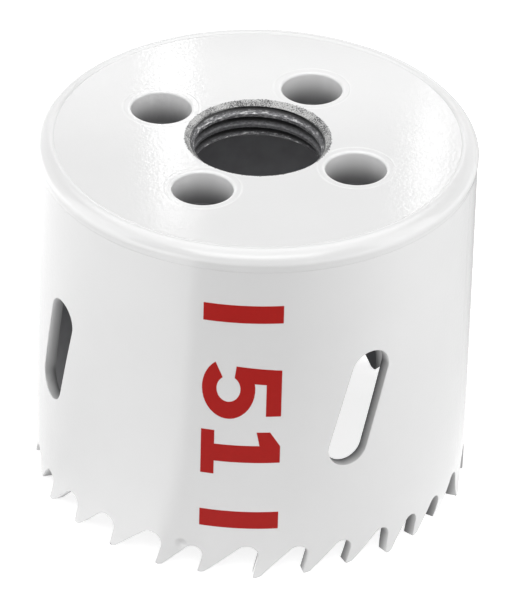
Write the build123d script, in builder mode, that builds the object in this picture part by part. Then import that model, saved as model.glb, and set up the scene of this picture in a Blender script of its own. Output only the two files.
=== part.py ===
"""Hole saw: a toothed, slotted steel strip rolled into a ring and welded round an end plate.

Millimetres and degrees. The origin is on the axis in the plane of the tooth tips, +Z runs up
the axis to the end plate, and the butt weld that closes the ring is on the -Y side.
Teeth and slots are laid out along the flat strip and wrapped round the axis, because the
real strip is punched and toothed before it is rolled.
"""
from build123d import *
import math
import os

# Ring
cut_diameter = 51.0
tooth_set = 0.4
wall = 1.3
strip_width = 41.7
seam_angle = -90.0

# Teeth: the strip repeats this run of uneven pitches, and what is left over meets at the seam.
# Some teeth got only a share of the set; the shares are kept by the tooth's number
pitch_pattern = (6.38, 5.82, 5.3, 5.15, 4.6, 4.65, 5.1, 5.7, 6.15, 6.45, 6.2, 5.75, 5.2, 4.8,
                 4.6, 4.7, 5.05, 5.45, 5.6, 5.3, 5.05, 4.85, 6.35, 5.51, 4.85, 5.68, 6.02, 6.4)
seam_pitch = 5.05
seam_to_first_tooth = 1.65
hook_angle = 14.0
tip_land = 0.42
tip_bevel = 0.15
relief_angle = 20.0
relief_length = 0.5
gullet_floor = 1.2
gullet_growth = 0.45
gullet_round = 0.21
bend_below_gullet = 0.3
foot_gap = 0.3
set_share = {0: 0.0, 3: 0.6, 24: 0.4, 25: 0.5, 27: 0.0, 28: 0.5}

# Chip slots
slot_count = 4
slot_length = 14.95
slot_width = 4.8
slot_height = 21.3
slot_lean = 15.0
seam_to_slot = 20.2

# End plate: thread core and drive pin holes
plate_thickness = 4.45
plate_proud = 1.6
thread_core_radius = 7.25
thread_mouth_chamfer = 1.1
thread_back_chamfer = 0.5
pin_hole_radius = 3.48
pin_circle_diameter = 25.4
pin_hole_count = 4
pin_angle = -11.7

# Weld bead over the corner between the strip and the plate
bead_height = 1.75
bead_bulge = 0.1
bead_foot = 0.18
bead_toe = 0.23

# Extra lengths: cuts run clear of the metal, teeth start long, and cuts meet in each land
cut_margin = 1.0
foot_spare = 0.4
land_overlap = 0.02

outer_radius = cut_diameter / 2 - tooth_set
inner_radius = outer_radius - wall
plate_top = strip_width + plate_proud
plate_bottom = plate_top - plate_thickness
strip_length = 2 * math.pi * outer_radius

bead_top = strip_width + bead_height
bead_foot_height = strip_width + bead_foot
bead_radius = outer_radius + bead_bulge
bead_crest = bead_radius - (bead_top - bead_foot_height)
bead_toe_radius = bead_crest - bead_toe
weld_bevel = inner_radius - bead_toe_radius


def gullet_depth(pitch):
    """Height of the gullet above the tips: a wide tooth space is cut deeper."""
    return gullet_floor + gullet_growth * pitch


def gullet_centre(pitch):
    """Centre of the gullet's round, in strip coordinates from the tooth's front corner."""
    hook = math.radians(hook_angle)
    radius = gullet_round * pitch
    height = gullet_depth(pitch) - radius
    return Vector(height * math.tan(hook) - radius / math.cos(hook), height)


def tooth_pitches():
    """Pitches laid from the seam, stretched a little so that they end at the seam pitch."""
    room = strip_length - seam_pitch
    pitches = []
    following = pitch_pattern[0]
    while sum(pitches) + following / 2 < room:
        pitches.append(following)
        following = pitch_pattern[len(pitches) % len(pitch_pattern)]
    stretch = room / sum(pitches)
    return [pitch * stretch for pitch in pitches]


def tooth_lean(number):
    """Set of a tooth: inwards, outwards and straight in turn, some of them by less."""
    return set_share.get(number, 1.0) * (-tooth_set, tooth_set, 0.0)[number % 3]


def strip_angle(distance):
    """Direction from the axis of a point that lies so far along the strip from the seam."""
    return seam_angle + math.degrees(distance / outer_radius)


def radial_plane(angle, reach):
    """Plane that faces outwards at a distance from the axis, with its Y axis upright."""
    outwards = Vector(1, 0, 0).rotate(Axis.Z, angle)
    along = Vector(0, 1, 0).rotate(Axis.Z, angle)
    return Plane(origin=outwards * reach, x_dir=along, z_dir=outwards)


def tooth_space(pitch):
    """Outline of the space in front of a tooth, in strip coordinates from its front corner.

    A bevelled tip, a hooked rake face, a round gullet, a long straight back and the shallow
    relief behind the next tip. Each entry is a line of two points or an arc of three.
    """
    hook = math.radians(hook_angle)
    radius = gullet_round * pitch
    relief = math.radians(relief_angle)
    heel = Vector(tip_land - pitch, 0)
    relief_end = heel + Vector(math.cos(relief), math.sin(relief)) * relief_length
    centre = gullet_centre(pitch)
    to_centre = centre - relief_end
    slope = math.atan2(to_centre.Y, to_centre.X) + math.asin(radius / to_centre.length)

    def on_gullet(direction):
        return centre + Vector(math.cos(direction), math.sin(direction)) * radius

    rake_end = on_gullet(-hook)
    back_end = on_gullet(math.pi / 2 + slope)
    crown = on_gullet((math.pi / 2 + slope - hook) / 2)
    tip_edge = Vector(tip_bevel, 0)
    rake_start = Vector(math.sin(hook), math.cos(hook)) * tip_bevel
    land_start = Vector(tip_land / 2 + land_overlap, 0)
    land_end = Vector(tip_land / 2 - land_overlap - pitch, 0)
    below = Vector(0, -cut_margin)
    return [
        (land_start, tip_edge),
        (tip_edge, rake_start),
        (rake_start, rake_end),
        (rake_end, crown, back_end),
        (back_end, relief_end),
        (relief_end, heel),
        (heel, land_end),
        (land_end, land_end + below),
        (land_end + below, land_start + below),
        (land_start + below, land_start),
    ]


def slot_outline():
    """Outline of a leaning slot with round ends, in strip coordinates from its middle."""
    lean = math.radians(slot_lean)
    middle = Vector(0, slot_height)
    upwards = Vector(math.sin(lean), math.cos(lean))
    across = Vector(math.cos(lean), -math.sin(lean)) * (slot_width / 2)
    top = middle + upwards * (slot_length - slot_width) / 2
    bottom = middle - upwards * (slot_length - slot_width) / 2
    end = upwards * (slot_width / 2)
    return [
        (top - across, top + end, top + across),
        (top + across, bottom + across),
        (bottom + across, bottom - end, bottom - across),
        (bottom - across, top - across),
    ]


def radial_cutter(outline, angle):
    """Wedge through the wall behind an outline, with all its sides pointing at the axis."""
    inside = inner_radius - tooth_set - cut_margin
    outside = outer_radius + tooth_set + cut_margin
    with BuildPart() as wedge:
        for reach in (inside, outside):
            with BuildSketch(radial_plane(angle, reach)):
                with BuildLine():
                    for points in outline:
                        flat = [(reach * math.tan(p.X / outer_radius), p.Y) for p in points]
                        if len(flat) == 3:
                            ThreePointArc(*flat)
                        else:
                            Line(*flat)
                make_face()
        loft(ruled=True)
    return wedge.part


def tooth_foot(start, sweep, lean, bend_height):
    """Foot of the wall over one tooth, which curves away from the wall by its set."""
    radial = Vector(1, 0, 0).rotate(Axis.Z, start)
    across = Vector(0, -1, 0).rotate(Axis.Z, start)
    length = bend_height + foot_spare
    with BuildPart() as foot:
        with BuildSketch(Plane(origin=(0, 0, 0), x_dir=radial, z_dir=across)):
            with BuildLine():
                sides = []
                for radius in (inner_radius, outer_radius):
                    top = (radius, bend_height)
                    if lean:
                        curve = (bend_height ** 2 + lean ** 2) / (2 * abs(lean))
                        turn = math.copysign(math.degrees(math.asin(length / curve)), lean)
                        sides.append(JernArc(top, (0, -1), curve, turn))
                    else:
                        sides.append(Line(top, (radius, -foot_spare)))
                Line(sides[0] @ 0, sides[1] @ 0)
                Line(sides[0] @ 1, sides[1] @ 1)
            make_face()
        revolve(axis=Axis.Z, revolution_arc=sweep)
    return foot.part


def make_toothed_band():
    """The strip rolled into a ring, with leaning slots and uneven, alternately set teeth."""
    pitches = tooth_pitches()
    fronts = [seam_to_first_tooth + sum(pitches[:count]) for count in range(len(pitches) + 1)]
    spaces = [strip_length - sum(pitches)] + pitches
    crowns = [front + gullet_centre(pitch).X for front, pitch in zip(fronts, spaces)]
    crowns.append(crowns[0] + strip_length)
    bend_height = min(gullet_depth(pitch) for pitch in spaces) - bend_below_gullet
    feet = []
    for number in range(len(fronts)):
        start = strip_angle(crowns[number] + foot_gap)
        sweep = strip_angle(crowns[number + 1] - foot_gap) - start
        feet.append(tooth_foot(start, sweep, tooth_lean(number), bend_height))
    cutters = [radial_cutter(tooth_space(pitch), strip_angle(front))
               for front, pitch in zip(fronts, spaces)]
    slot_step = (strip_length - 2 * seam_to_slot) / (slot_count - 1)
    for number in range(slot_count):
        angle = strip_angle(seam_to_slot + number * slot_step)
        cutters.append(radial_cutter(slot_outline(), angle))

    with BuildPart() as toothed_band:
        with BuildSketch(Plane.XY.offset(bend_height)):
            Circle(outer_radius)
            Circle(inner_radius, mode=Mode.SUBTRACT)
        extrude(amount=strip_width - bend_height)
        add(feet)
        add(cutters, mode=Mode.SUBTRACT)
    toothed_band.part.label = "toothed_band"
    return toothed_band.part


def rims_of(part, radius):
    """Round edges of one radius, from the lowest to the highest."""
    return (part.edges().filter_by(GeomType.CIRCLE)
            .filter_by(lambda edge: math.isclose(edge.radius, radius)).sort_by(Axis.Z))


def make_end_plate():
    """Thick disc inside the ring's top edge, bored for the thread and for the drive pins."""
    with BuildPart() as end_plate:
        with BuildSketch(Plane.XY.offset(plate_bottom)):
            Circle(inner_radius)
            Circle(thread_core_radius, mode=Mode.SUBTRACT)
        extrude(amount=plate_thickness)
        chamfer(rims_of(end_plate, inner_radius)[-1], weld_bevel)
        chamfer(rims_of(end_plate, thread_core_radius)[-1], thread_mouth_chamfer)
        chamfer(rims_of(end_plate, thread_core_radius)[0], thread_back_chamfer)
        with BuildSketch(Plane.XY.offset(plate_bottom)):
            with PolarLocations(pin_circle_diameter / 2, pin_hole_count, start_angle=pin_angle):
                Circle(pin_hole_radius)
        extrude(amount=plate_thickness, mode=Mode.SUBTRACT)
    end_plate.part.label = "end_plate"
    return end_plate.part


def make_weld_ring():
    """Weld bead that rounds the corner: it lies on the strip's edge and in the plate's bevel."""
    crown_radius = bead_radius - bead_crest
    with BuildPart() as weld_ring:
        with BuildSketch(Plane.XZ):
            with BuildLine():
                Line((inner_radius, strip_width), (outer_radius, strip_width))
                Line((outer_radius, strip_width), (bead_radius, bead_foot_height))
                RadiusArc((bead_radius, bead_foot_height), (bead_crest, bead_top), -crown_radius)
                Line((bead_crest, bead_top), (bead_toe_radius, plate_top))
                Line((bead_toe_radius, plate_top), (inner_radius, plate_top - weld_bevel))
                Line((inner_radius, plate_top - weld_bevel), (inner_radius, strip_width))
            make_face()
        revolve(axis=Axis.Z)
    weld_ring.part.label = "weld_ring"
    return weld_ring.part


os.makedirs("parts", exist_ok=True)
for piece in (make_toothed_band(), make_end_plate(), make_weld_ring()):
    export_step(piece, f"parts/{piece.label}.step")
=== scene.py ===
"""Hole saw in the studio: white baked enamel over a toothed steel cup, with a tapped end plate.

Metres. +Z runs up the saw's axis, the teeth stand on the floor at Z = 0, and the butt weld
that closes the ring is on the -Y side. Sizes in the classes are millimetres.
"""

import logging
import math
from dataclasses import dataclass
from enum import Enum
from typing import Any, Iterable, Mapping, Sequence, Union

import bmesh
import bpy
from mathutils import Matrix, Vector
from mathutils.geometry import delaunay_2d_cdt


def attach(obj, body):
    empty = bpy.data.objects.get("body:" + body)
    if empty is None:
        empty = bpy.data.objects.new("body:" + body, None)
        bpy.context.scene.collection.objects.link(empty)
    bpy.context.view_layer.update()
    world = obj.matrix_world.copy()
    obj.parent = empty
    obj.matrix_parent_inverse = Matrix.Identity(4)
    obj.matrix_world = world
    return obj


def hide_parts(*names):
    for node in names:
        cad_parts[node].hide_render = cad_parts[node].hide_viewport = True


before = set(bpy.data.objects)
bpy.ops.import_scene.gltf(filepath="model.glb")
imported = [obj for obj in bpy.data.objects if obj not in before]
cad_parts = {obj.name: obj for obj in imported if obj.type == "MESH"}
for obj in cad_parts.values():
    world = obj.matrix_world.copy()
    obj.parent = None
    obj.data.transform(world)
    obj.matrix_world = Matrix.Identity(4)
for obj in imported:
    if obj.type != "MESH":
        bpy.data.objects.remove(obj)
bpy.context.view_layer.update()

log = logging.getLogger("hole_saw")

MM = 0.001
# Points of a mesh that are closer than this are one, and an edge shorter than that is none
SAME_PLACE = 1e-6
NO_LENGTH = 1e-7
BODY = "root"

Inputs = Union[Mapping[Union[str, int], Any], Sequence[Any]]


@dataclass(frozen=True)
class SawSizes:
    """Sizes that several pieces and finishes share, from the saw's axis and its tooth tips."""

    wall_radius: float = 25.1
    inner_radius: float = 23.8
    strip_top: float = 41.7
    plate_top: float = 43.3
    plate_bottom: float = 38.85
    core_radius: float = 7.25
    major_radius: float = 7.94
    mouth_chamfer: float = 1.1
    back_chamfer: float = 0.5
    pin_radius: float = 3.48
    pin_circle: float = 25.4
    pin_angle: float = -11.7


SAW = SawSizes()


def linear(hex_colour: str) -> tuple[float, float, float, float]:
    """Turn an sRGB hex colour into Blender's linear colour.

    Args:
        hex_colour: Six hex digits after a hash sign.

    Returns:
        Linear red, green, blue and an alpha of 1.
    """
    channels = [int(hex_colour[i:i + 2], 16) / 255 for i in (1, 3, 5)]
    flat = [c / 12.92 if c <= 0.04045 else ((c + 0.055) / 1.055) ** 2.4 for c in channels]
    return (flat[0], flat[1], flat[2], 1.0)


def add_node(tree: bpy.types.NodeTree, kind: str, inputs: Inputs = (), **settings: Any) -> bpy.types.Node:
    """Add a node to a tree, with its settings, values and links.

    Args:
        tree: Node tree of a material, the world or a Geometry Nodes group.
        kind: Blender's type name of the node.
        inputs: Values or sockets by input name or number, or in the order of the inputs.
        **settings: Properties of the node itself.

    Returns:
        The new node.
    """
    node = tree.nodes.new(kind)
    for name, value in settings.items():
        setattr(node, name, value)
    pairs = inputs.items() if isinstance(inputs, Mapping) else enumerate(inputs)
    for key, value in pairs:
        for one in value if isinstance(value, list) else [value]:
            if isinstance(one, bpy.types.NodeSocket):
                tree.links.new(one, node.inputs[key])
            else:
                node.inputs[key].default_value = one
    return node


def new_material(name: str) -> tuple[bpy.types.Material, bpy.types.Node]:
    """Start a node material.

    Args:
        name: Name of the finish.

    Returns:
        The material and its Principled shader.
    """
    material = bpy.data.materials.new(name)
    material.use_nodes = True
    return material, material.node_tree.nodes["Principled BSDF"]


def new_object(name: str, mesh: bpy.types.Mesh) -> bpy.types.Object:
    """Put a mesh into the scene as an object at the origin.

    Args:
        name: Name of the object.
        mesh: Mesh with its place in its vertices.

    Returns:
        The new object.
    """
    piece = bpy.data.objects.new(name, mesh)
    bpy.context.scene.collection.objects.link(piece)
    return piece


def bake(piece: bpy.types.Object, tree: bpy.types.NodeTree, values: Mapping[str, Any]) -> None:
    """Run a Geometry Nodes tree on a piece and keep the result as its plain mesh.

    Args:
        piece: Object whose mesh the tree starts from.
        tree: The Geometry Nodes group.
        values: Values of the tree's named inputs.
    """
    modifier = piece.modifiers.new("build", "NODES")
    modifier.node_group = tree
    for item in tree.interface.items_tree:
        if item.item_type == "SOCKET" and item.in_out == "INPUT" and item.name in values:
            modifier[item.identifier] = values[item.name]
    bpy.context.view_layer.update()
    graph = bpy.context.evaluated_depsgraph_get()
    mesh = bpy.data.meshes.new_from_object(piece.evaluated_get(graph))
    piece.modifiers.remove(modifier)
    piece.data = mesh


def close_and_smooth(mesh: bpy.types.Mesh, crease: float) -> None:
    """Merge what touches, turn the faces outwards and shade smooth up to a crease.

    Args:
        mesh: The finished mesh.
        crease: Angle in degrees from which an edge stays sharp.
    """
    work = bmesh.new()
    work.from_mesh(mesh)
    bmesh.ops.remove_doubles(work, verts=work.verts, dist=SAME_PLACE)
    bmesh.ops.dissolve_degenerate(work, edges=work.edges, dist=NO_LENGTH)
    bmesh.ops.recalc_face_normals(work, faces=work.faces)
    for face in work.faces:
        face.smooth = True
    work.to_mesh(mesh)
    work.free()
    mesh.set_sharp_from_angle(angle=math.radians(crease))


def new_tree(name: str, inputs: Iterable[tuple[str, str]]) -> tuple[bpy.types.NodeTree, bpy.types.Node]:
    """Start a Geometry Nodes group that takes and gives geometry.

    Args:
        name: Name of the group.
        inputs: Name and socket type of each further input.

    Returns:
        The group and its Group Input node.
    """
    tree = bpy.data.node_groups.new(name, "GeometryNodeTree")
    tree.interface.new_socket("Geometry", in_out="INPUT", socket_type="NodeSocketGeometry")
    for label, kind in inputs:
        tree.interface.new_socket(label, in_out="INPUT", socket_type=kind)
    tree.interface.new_socket("Geometry", in_out="OUTPUT", socket_type="NodeSocketGeometry")
    return tree, tree.nodes.new("NodeGroupInput")


@dataclass(frozen=True)
class Blotches:
    """Blotches of one size, cut out of a noise between two of its levels."""

    pitch: float
    low: float
    high: float
    stretch: tuple[float, float, float] = (1.0, 1.0, 1.0)
    detail: float = 3.0
    raggedness: float = 0.6

    def cut(self, tree: bpy.types.NodeTree, more: Any = 0.0) -> bpy.types.NodeSocket:
        """Add the nodes of the blotches.

        Args:
            tree: The material's node tree.
            more: Value or socket added to the noise, which makes blotches more frequent.

        Returns:
            Socket that is 1 in the blotches.
        """
        spot = add_node(tree, "ShaderNodeVectorMath",
                        [add_node(tree, "ShaderNodeTexCoord").outputs["Object"], self.stretch],
                        operation="MULTIPLY")
        noise = add_node(tree, "ShaderNodeTexNoise",
                         {"Vector": spot.outputs[0], "Scale": 1 / (self.pitch * MM),
                          "Detail": self.detail, "Roughness": self.raggedness})
        level = add_node(tree, "ShaderNodeMath", [noise.outputs["Fac"], more], operation="ADD")
        blotch = add_node(tree, "ShaderNodeMapRange",
                          {"Value": level.outputs[0], "From Min": self.low, "From Max": self.high})
        return blotch.outputs["Result"]


def off_axis(tree: bpy.types.NodeTree,
             spot: bpy.types.NodeSocket) -> tuple[bpy.types.NodeSocket, bpy.types.NodeSocket]:
    """Measure a position from the saw's axis.

    Args:
        tree: A node tree.
        spot: Socket with the position.

    Returns:
        Socket with the level part of the position, and one with its length.
    """
    flat = add_node(tree, "ShaderNodeVectorMath", [spot, (1.0, 1.0, 0.0)], operation="MULTIPLY")
    radius = add_node(tree, "ShaderNodeVectorMath", [flat.outputs[0]], operation="LENGTH")
    return flat.outputs[0], radius.outputs["Value"]


def rolled(tree: bpy.types.NodeTree, sheet: bpy.types.Node, turn: bpy.types.NodeSocket,
           radius: bpy.types.NodeSocket, height: bpy.types.NodeSocket) -> bpy.types.NodeSocket:
    """Roll a flat grid into a wall round the Z axis.

    Args:
        tree: A Geometry Nodes group.
        sheet: Node that makes the grid.
        turn: Direction of each point round the axis.
        radius: Radius of each point.
        height: Height of each point.

    Returns:
        Geometry of the wall.
    """
    across = [add_node(tree, "ShaderNodeMath",
                       [add_node(tree, "ShaderNodeMath", [turn], operation=wave).outputs[0], radius],
                       operation="MULTIPLY").outputs[0]
              for wave in ("COSINE", "SINE")]
    spot = add_node(tree, "ShaderNodeCombineXYZ", [*across, height])
    wall = add_node(tree, "GeometryNodeSetPosition",
                    {"Geometry": sheet.outputs["Mesh"], "Position": spot.outputs[0]})
    return wall.outputs[0]


class Coverage(Enum):
    """Where the spray leaves the steel bare."""

    WALL = "bare on the faces that look at the axis"
    PLATE = "bare on the face that looks down"
    FULL = "covered all over"


@dataclass(frozen=True)
class BakedEnamel:
    """White baked enamel, sprayed on the finished cup.

    The pigmented skin gives the eye an even, soft white. The clear gloss that floats up as it bakes
    lies over that, and shows small sharp lights that the orange peel breaks into grains.
    """

    white: str = "#E4E4E4"
    pale: str = "#E9E9E9"
    # Painted highlight: a brighter white on the pin holes' pool edges and lips
    painted_highlight: str = "#F4F4F4"
    # Painted shade: the grey that the white darkens to down the holes and across cut faces
    lean: str = "#6A6A6B"
    steel: str = "#77777A"
    stain: str = "#5C5C5E"
    base_gloss: float = 0.42
    coat_gloss: float = 0.06
    bare_gloss: float = 0.6
    bare_metal: float = 0.35
    peel_pitch: float = 0.42
    peel_height: float = 0.01
    peel_share: float = 0.4
    cloud_pitch: float = 9.0
    stain_pitch: float = 2.5
    edge_round: float = 0.2
    # Painted shade darkens the white between these radii through the wall, and between these heights down
    # a hole
    wall_shade_radii: tuple[float, float] = (25.2, 23.9)
    hole_shade_heights: tuple[float, float] = (43.3, 39.1)
    # It stays off faces turned away from the spray, and the painted shade falls only on faces edge on to
    # it
    turned_away: tuple[float, float] = (-0.35, -0.7)
    shade_facing: tuple[float, float] = (0.7, 0.3)
    # It flaked off near the tips and round the mouth, in flakes more frequent by these shares
    tip_reach: tuple[float, float] = (0.5, 0.05)
    tip_share: float = 0.34
    tip_flakes: Blotches = Blotches(0.7, 0.86, 0.92)
    mouth_radius: float = SAW.core_radius + SAW.mouth_chamfer
    mouth_reach: tuple[float, float] = (0.4, -0.05)
    mouth_share: float = 0.42
    mouth_flakes: Blotches = Blotches(0.22, 0.86, 0.92)
    # A little pit in the film beside the butt weld
    weld_spot: tuple[float, float, float] = (-0.25, -25.11, 3.4)
    weld_spot_size: float = 0.9
    weld_spot_depth: float = 0.4
    # The film pooled round each drive pin hole, and hangs over its edge; a painted highlight brightens
    # the pool's edge and the hole's lip
    pool_radius: float = 4.45
    pool_depth: float = 0.03
    pool_edge: float = 0.2
    highlight_line: tuple[float, float] = (0.18, 0.04)
    highlight_runs: Blotches = Blotches(5.0, 0.3, 0.7)
    lip_highlight: tuple[float, float] = (3.9, 3.6)

    def cover(self, tree: bpy.types.NodeTree, place: Coverage) -> tuple[Any, Any]:
        """Where the film is missing and where painted shade darkens it, from the place and the way of the
        surface.

        Args:
            tree: The material's node tree.
            place: Which piece the enamel is on.

        Returns:
            Socket that is 1 on bare steel, and one that is 1 where the painted shade is darkest.
        """
        spots = add_node(tree, "ShaderNodeTexCoord")
        height = add_node(tree, "ShaderNodeSeparateXYZ", [spots.outputs["Object"]]).outputs["Z"]
        flat, radius = off_axis(tree, spots.outputs["Object"])
        if place is Coverage.WALL:
            outward = add_node(tree, "ShaderNodeVectorMath", [flat], operation="NORMALIZE").outputs[0]
            # Painted shade darkens the cut faces from the wall inwards, and the film flaked off some of
            # the tips
            source, (start, end), flakes = radius, self.wall_shade_radii, self.tip_flakes
            near = add_node(tree, "ShaderNodeMapRange",
                            {"Value": height, "From Min": self.tip_reach[0] * MM,
                             "From Max": self.tip_reach[1] * MM, "To Max": self.tip_share})
        else:
            outward = (0.0, 0.0, 1.0)
            # Painted shade darkens it down the pin holes, and the tap broke it away round the arbor hole
            source, (start, end), flakes = height, self.hole_shade_heights, self.mouth_flakes
            near = add_node(tree, "ShaderNodeMapRange",
                            {"Value": radius,
                             "From Min": (self.mouth_radius + self.mouth_reach[0]) * MM,
                             "From Max": (self.mouth_radius + self.mouth_reach[1]) * MM,
                             "To Max": self.mouth_share})
        flaked = flakes.cut(tree, near.outputs["Result"])
        facing = add_node(tree, "ShaderNodeVectorMath", [spots.outputs["Normal"], outward],
                          operation="DOT_PRODUCT")
        back = add_node(tree, "ShaderNodeMapRange",
                        {"Value": facing.outputs["Value"], "From Min": self.turned_away[0],
                         "From Max": self.turned_away[1]})
        bare = add_node(tree, "ShaderNodeMath", [back.outputs["Result"], flaked], operation="MAXIMUM")
        # Painted shade: deeper into the wall or down a hole, on faces edge on to the spray, the white
        # darkens
        shade_depth = add_node(tree, "ShaderNodeMapRange",
                         {"Value": source, "From Min": start * MM, "From Max": end * MM},
                         interpolation_type="SMOOTHSTEP" if place is Coverage.PLATE else "LINEAR")
        shade_facing = add_node(tree, "ShaderNodeMapRange",
                           {"Value": facing.outputs["Value"], "From Min": self.shade_facing[0],
                            "From Max": self.shade_facing[1]})
        shaded = add_node(tree, "ShaderNodeMath", [shade_depth.outputs["Result"], shade_facing.outputs["Result"]],
                        operation="MULTIPLY")
        return bare.outputs[0], shaded.outputs[0]

    def relief(self, tree: bpy.types.NodeTree, place: Coverage) -> tuple[Any, Any]:
        """Low forms in the film: a spot by the weld, and a pool of paint round each pin hole.

        Args:
            tree: The material's node tree.
            place: Which piece the enamel is on.

        Returns:
            Height of the form in millimetres, and a socket that is 1 where a highlight is painted.
        """
        spot = add_node(tree, "ShaderNodeTexCoord").outputs["Object"]
        if place is Coverage.WALL:
            gap = add_node(tree, "ShaderNodeVectorMath",
                           [spot, tuple(part * MM for part in self.weld_spot)], operation="DISTANCE")
            dip = add_node(tree, "ShaderNodeMapRange",
                           {"Value": gap.outputs["Value"], "From Min": self.weld_spot_size * MM,
                            "From Max": 0.0, "To Max": -self.weld_spot_depth},
                           interpolation_type="SMOOTHSTEP")
            return dip.outputs["Result"], 0.0
        if place is Coverage.FULL:
            return 0.0, 0.0
        # Folding the plate twice lays its four pin holes on one
        turned = add_node(tree, "ShaderNodeVectorRotate",
                          {"Vector": spot, "Angle": -math.radians(SAW.pin_angle)},
                          rotation_type="Z_AXIS")
        folded = add_node(tree, "ShaderNodeVectorMath", [turned.outputs[0]], operation="ABSOLUTE")
        parts = add_node(tree, "ShaderNodeSeparateXYZ", [folded.outputs[0]])
        along = add_node(tree, "ShaderNodeMath", [parts.outputs["X"], parts.outputs["Y"]],
                         operation="MAXIMUM")
        across = add_node(tree, "ShaderNodeMath", [parts.outputs["X"], parts.outputs["Y"]],
                          operation="MINIMUM")
        plan = add_node(tree, "ShaderNodeCombineXYZ", [along.outputs[0], across.outputs[0]])
        gap = add_node(tree, "ShaderNodeVectorMath",
                       [plan.outputs[0], (SAW.pin_circle / 2 * MM, 0.0, 0.0)], operation="DISTANCE")
        dish = add_node(tree, "ShaderNodeMapRange",
                        {"Value": gap.outputs["Value"], "From Min": self.pool_radius * MM,
                         "From Max": (self.pool_radius - self.pool_edge) * MM,
                         "To Max": -self.pool_depth},
                        interpolation_type="SMOOTHSTEP")
        off = add_node(tree, "ShaderNodeMath",
                       [gap.outputs["Value"], self.pool_radius * MM], operation="SUBTRACT")
        off = add_node(tree, "ShaderNodeMath", [off.outputs[0]], operation="ABSOLUTE")
        # A painted highlight, a bright line broken here and there, follows the pool's edge
        glint_line = add_node(tree, "ShaderNodeMapRange",
                        {"Value": off.outputs[0], "From Min": self.highlight_line[0] * MM,
                         "From Max": self.highlight_line[1] * MM})
        glint_line = add_node(tree, "ShaderNodeMath",
                        [glint_line.outputs["Result"], self.highlight_runs.cut(tree)], operation="MULTIPLY")
        # Painted highlight also on the lip of each hole
        lip_highlight = add_node(tree, "ShaderNodeMapRange",
                       {"Value": gap.outputs["Value"], "From Min": self.lip_highlight[0] * MM,
                        "From Max": self.lip_highlight[1] * MM})
        highlit = add_node(tree, "ShaderNodeMath", [glint_line.outputs[0], lip_highlight.outputs["Result"]],
                         operation="MAXIMUM")
        return dish.outputs["Result"], highlit.outputs[0]

    def material(self, name: str, place: Coverage) -> bpy.types.Material:
        """Make the enamel for one piece.

        Args:
            name: Name of the material.
            place: Which piece the enamel is on.

        Returns:
            The new material.
        """
        material, shader = new_material(name)
        tree = material.node_tree
        spot = add_node(tree, "ShaderNodeTexCoord").outputs["Object"]
        low, highlit = self.relief(tree, place)
        # Orange peel: shallow swells under half a millimetre apart break the gloss into grains
        swell = add_node(tree, "ShaderNodeTexNoise",
                         {"Vector": spot, "Scale": 1 / (self.peel_pitch * MM), "Detail": 2.0,
                          "Roughness": 0.5})
        # The film rounds every edge that it runs over
        rounded = add_node(tree, "ShaderNodeBevel", {"Radius": self.edge_round * MM}, samples=6)
        height = add_node(tree, "ShaderNodeMath",
                          [swell.outputs["Fac"], self.peel_share * self.peel_height, low],
                          operation="MULTIPLY_ADD")
        form = add_node(tree, "ShaderNodeBump",
                        {"Height": height.outputs[0], "Strength": 1.0, "Distance": MM,
                         "Normal": rounded.outputs[0]})
        peel = add_node(tree, "ShaderNodeBump",
                        {"Height": swell.outputs["Fac"], "Strength": 1.0,
                         "Distance": self.peel_height * MM, "Normal": form.outputs["Normal"]})
        tree.links.new(form.outputs["Normal"], shader.inputs["Normal"])
        tree.links.new(peel.outputs["Normal"], shader.inputs["Coat Normal"])
        shader.inputs["Coat Weight"].default_value = 1.0
        shader.inputs["Coat Roughness"].default_value = self.coat_gloss
        # The film is a little uneven, which shades the white by a level or two
        cloud = add_node(tree, "ShaderNodeTexNoise",
                         {"Vector": spot, "Scale": 1 / (self.cloud_pitch * MM), "Detail": 2.0})
        white = add_node(tree, "ShaderNodeMix",
                         {0: cloud.outputs["Fac"], 6: linear(self.white),
                          7: linear(self.pale)}, data_type="RGBA")
        if place is Coverage.FULL:
            tree.links.new(white.outputs[2], shader.inputs["Base Color"])
            shader.inputs["Roughness"].default_value = self.base_gloss
            return material
        bare, shaded = self.cover(tree, place)
        # Bare steel is grey and stained in patches, and has no gloss over it
        patch = add_node(tree, "ShaderNodeTexNoise",
                         {"Vector": spot, "Scale": 1 / (self.stain_pitch * MM), "Detail": 5.0})
        steel = add_node(tree, "ShaderNodeMix",
                         {0: patch.outputs["Fac"], 6: linear(self.steel),
                          7: linear(self.stain)}, data_type="RGBA")
        # Painted highlight: a brighter white at the pin holes' pool edges and lips
        full = add_node(tree, "ShaderNodeMix",
                        {0: highlit, 6: white.outputs[2], 7: linear(self.painted_highlight)}, data_type="RGBA")
        # Painted shade: the white darkens to grey down the holes and across cut faces
        film = add_node(tree, "ShaderNodeMix",
                        {0: shaded, 6: full.outputs[2], 7: linear(self.lean)}, data_type="RGBA")
        colour = add_node(tree, "ShaderNodeMix",
                          {0: bare, 6: film.outputs[2], 7: steel.outputs[2]}, data_type="RGBA")
        rough = add_node(tree, "ShaderNodeMapRange",
                         {"Value": bare, "To Min": self.base_gloss, "To Max": self.bare_gloss})
        metal = add_node(tree, "ShaderNodeMapRange",
                         {"Value": bare, "To Min": 0.0, "To Max": self.bare_metal})
        dull = add_node(tree, "ShaderNodeMath", [bare, shaded], operation="MAXIMUM")
        coat = add_node(tree, "ShaderNodeMapRange",
                        {"Value": dull.outputs[0], "From Max": 0.5, "To Min": 1.0, "To Max": 0.0})
        tree.links.new(colour.outputs[2], shader.inputs["Base Color"])
        tree.links.new(rough.outputs["Result"], shader.inputs["Roughness"])
        tree.links.new(metal.outputs["Result"], shader.inputs["Metallic"])
        tree.links.new(coat.outputs["Result"], shader.inputs["Coat Weight"])
        return material


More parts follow.
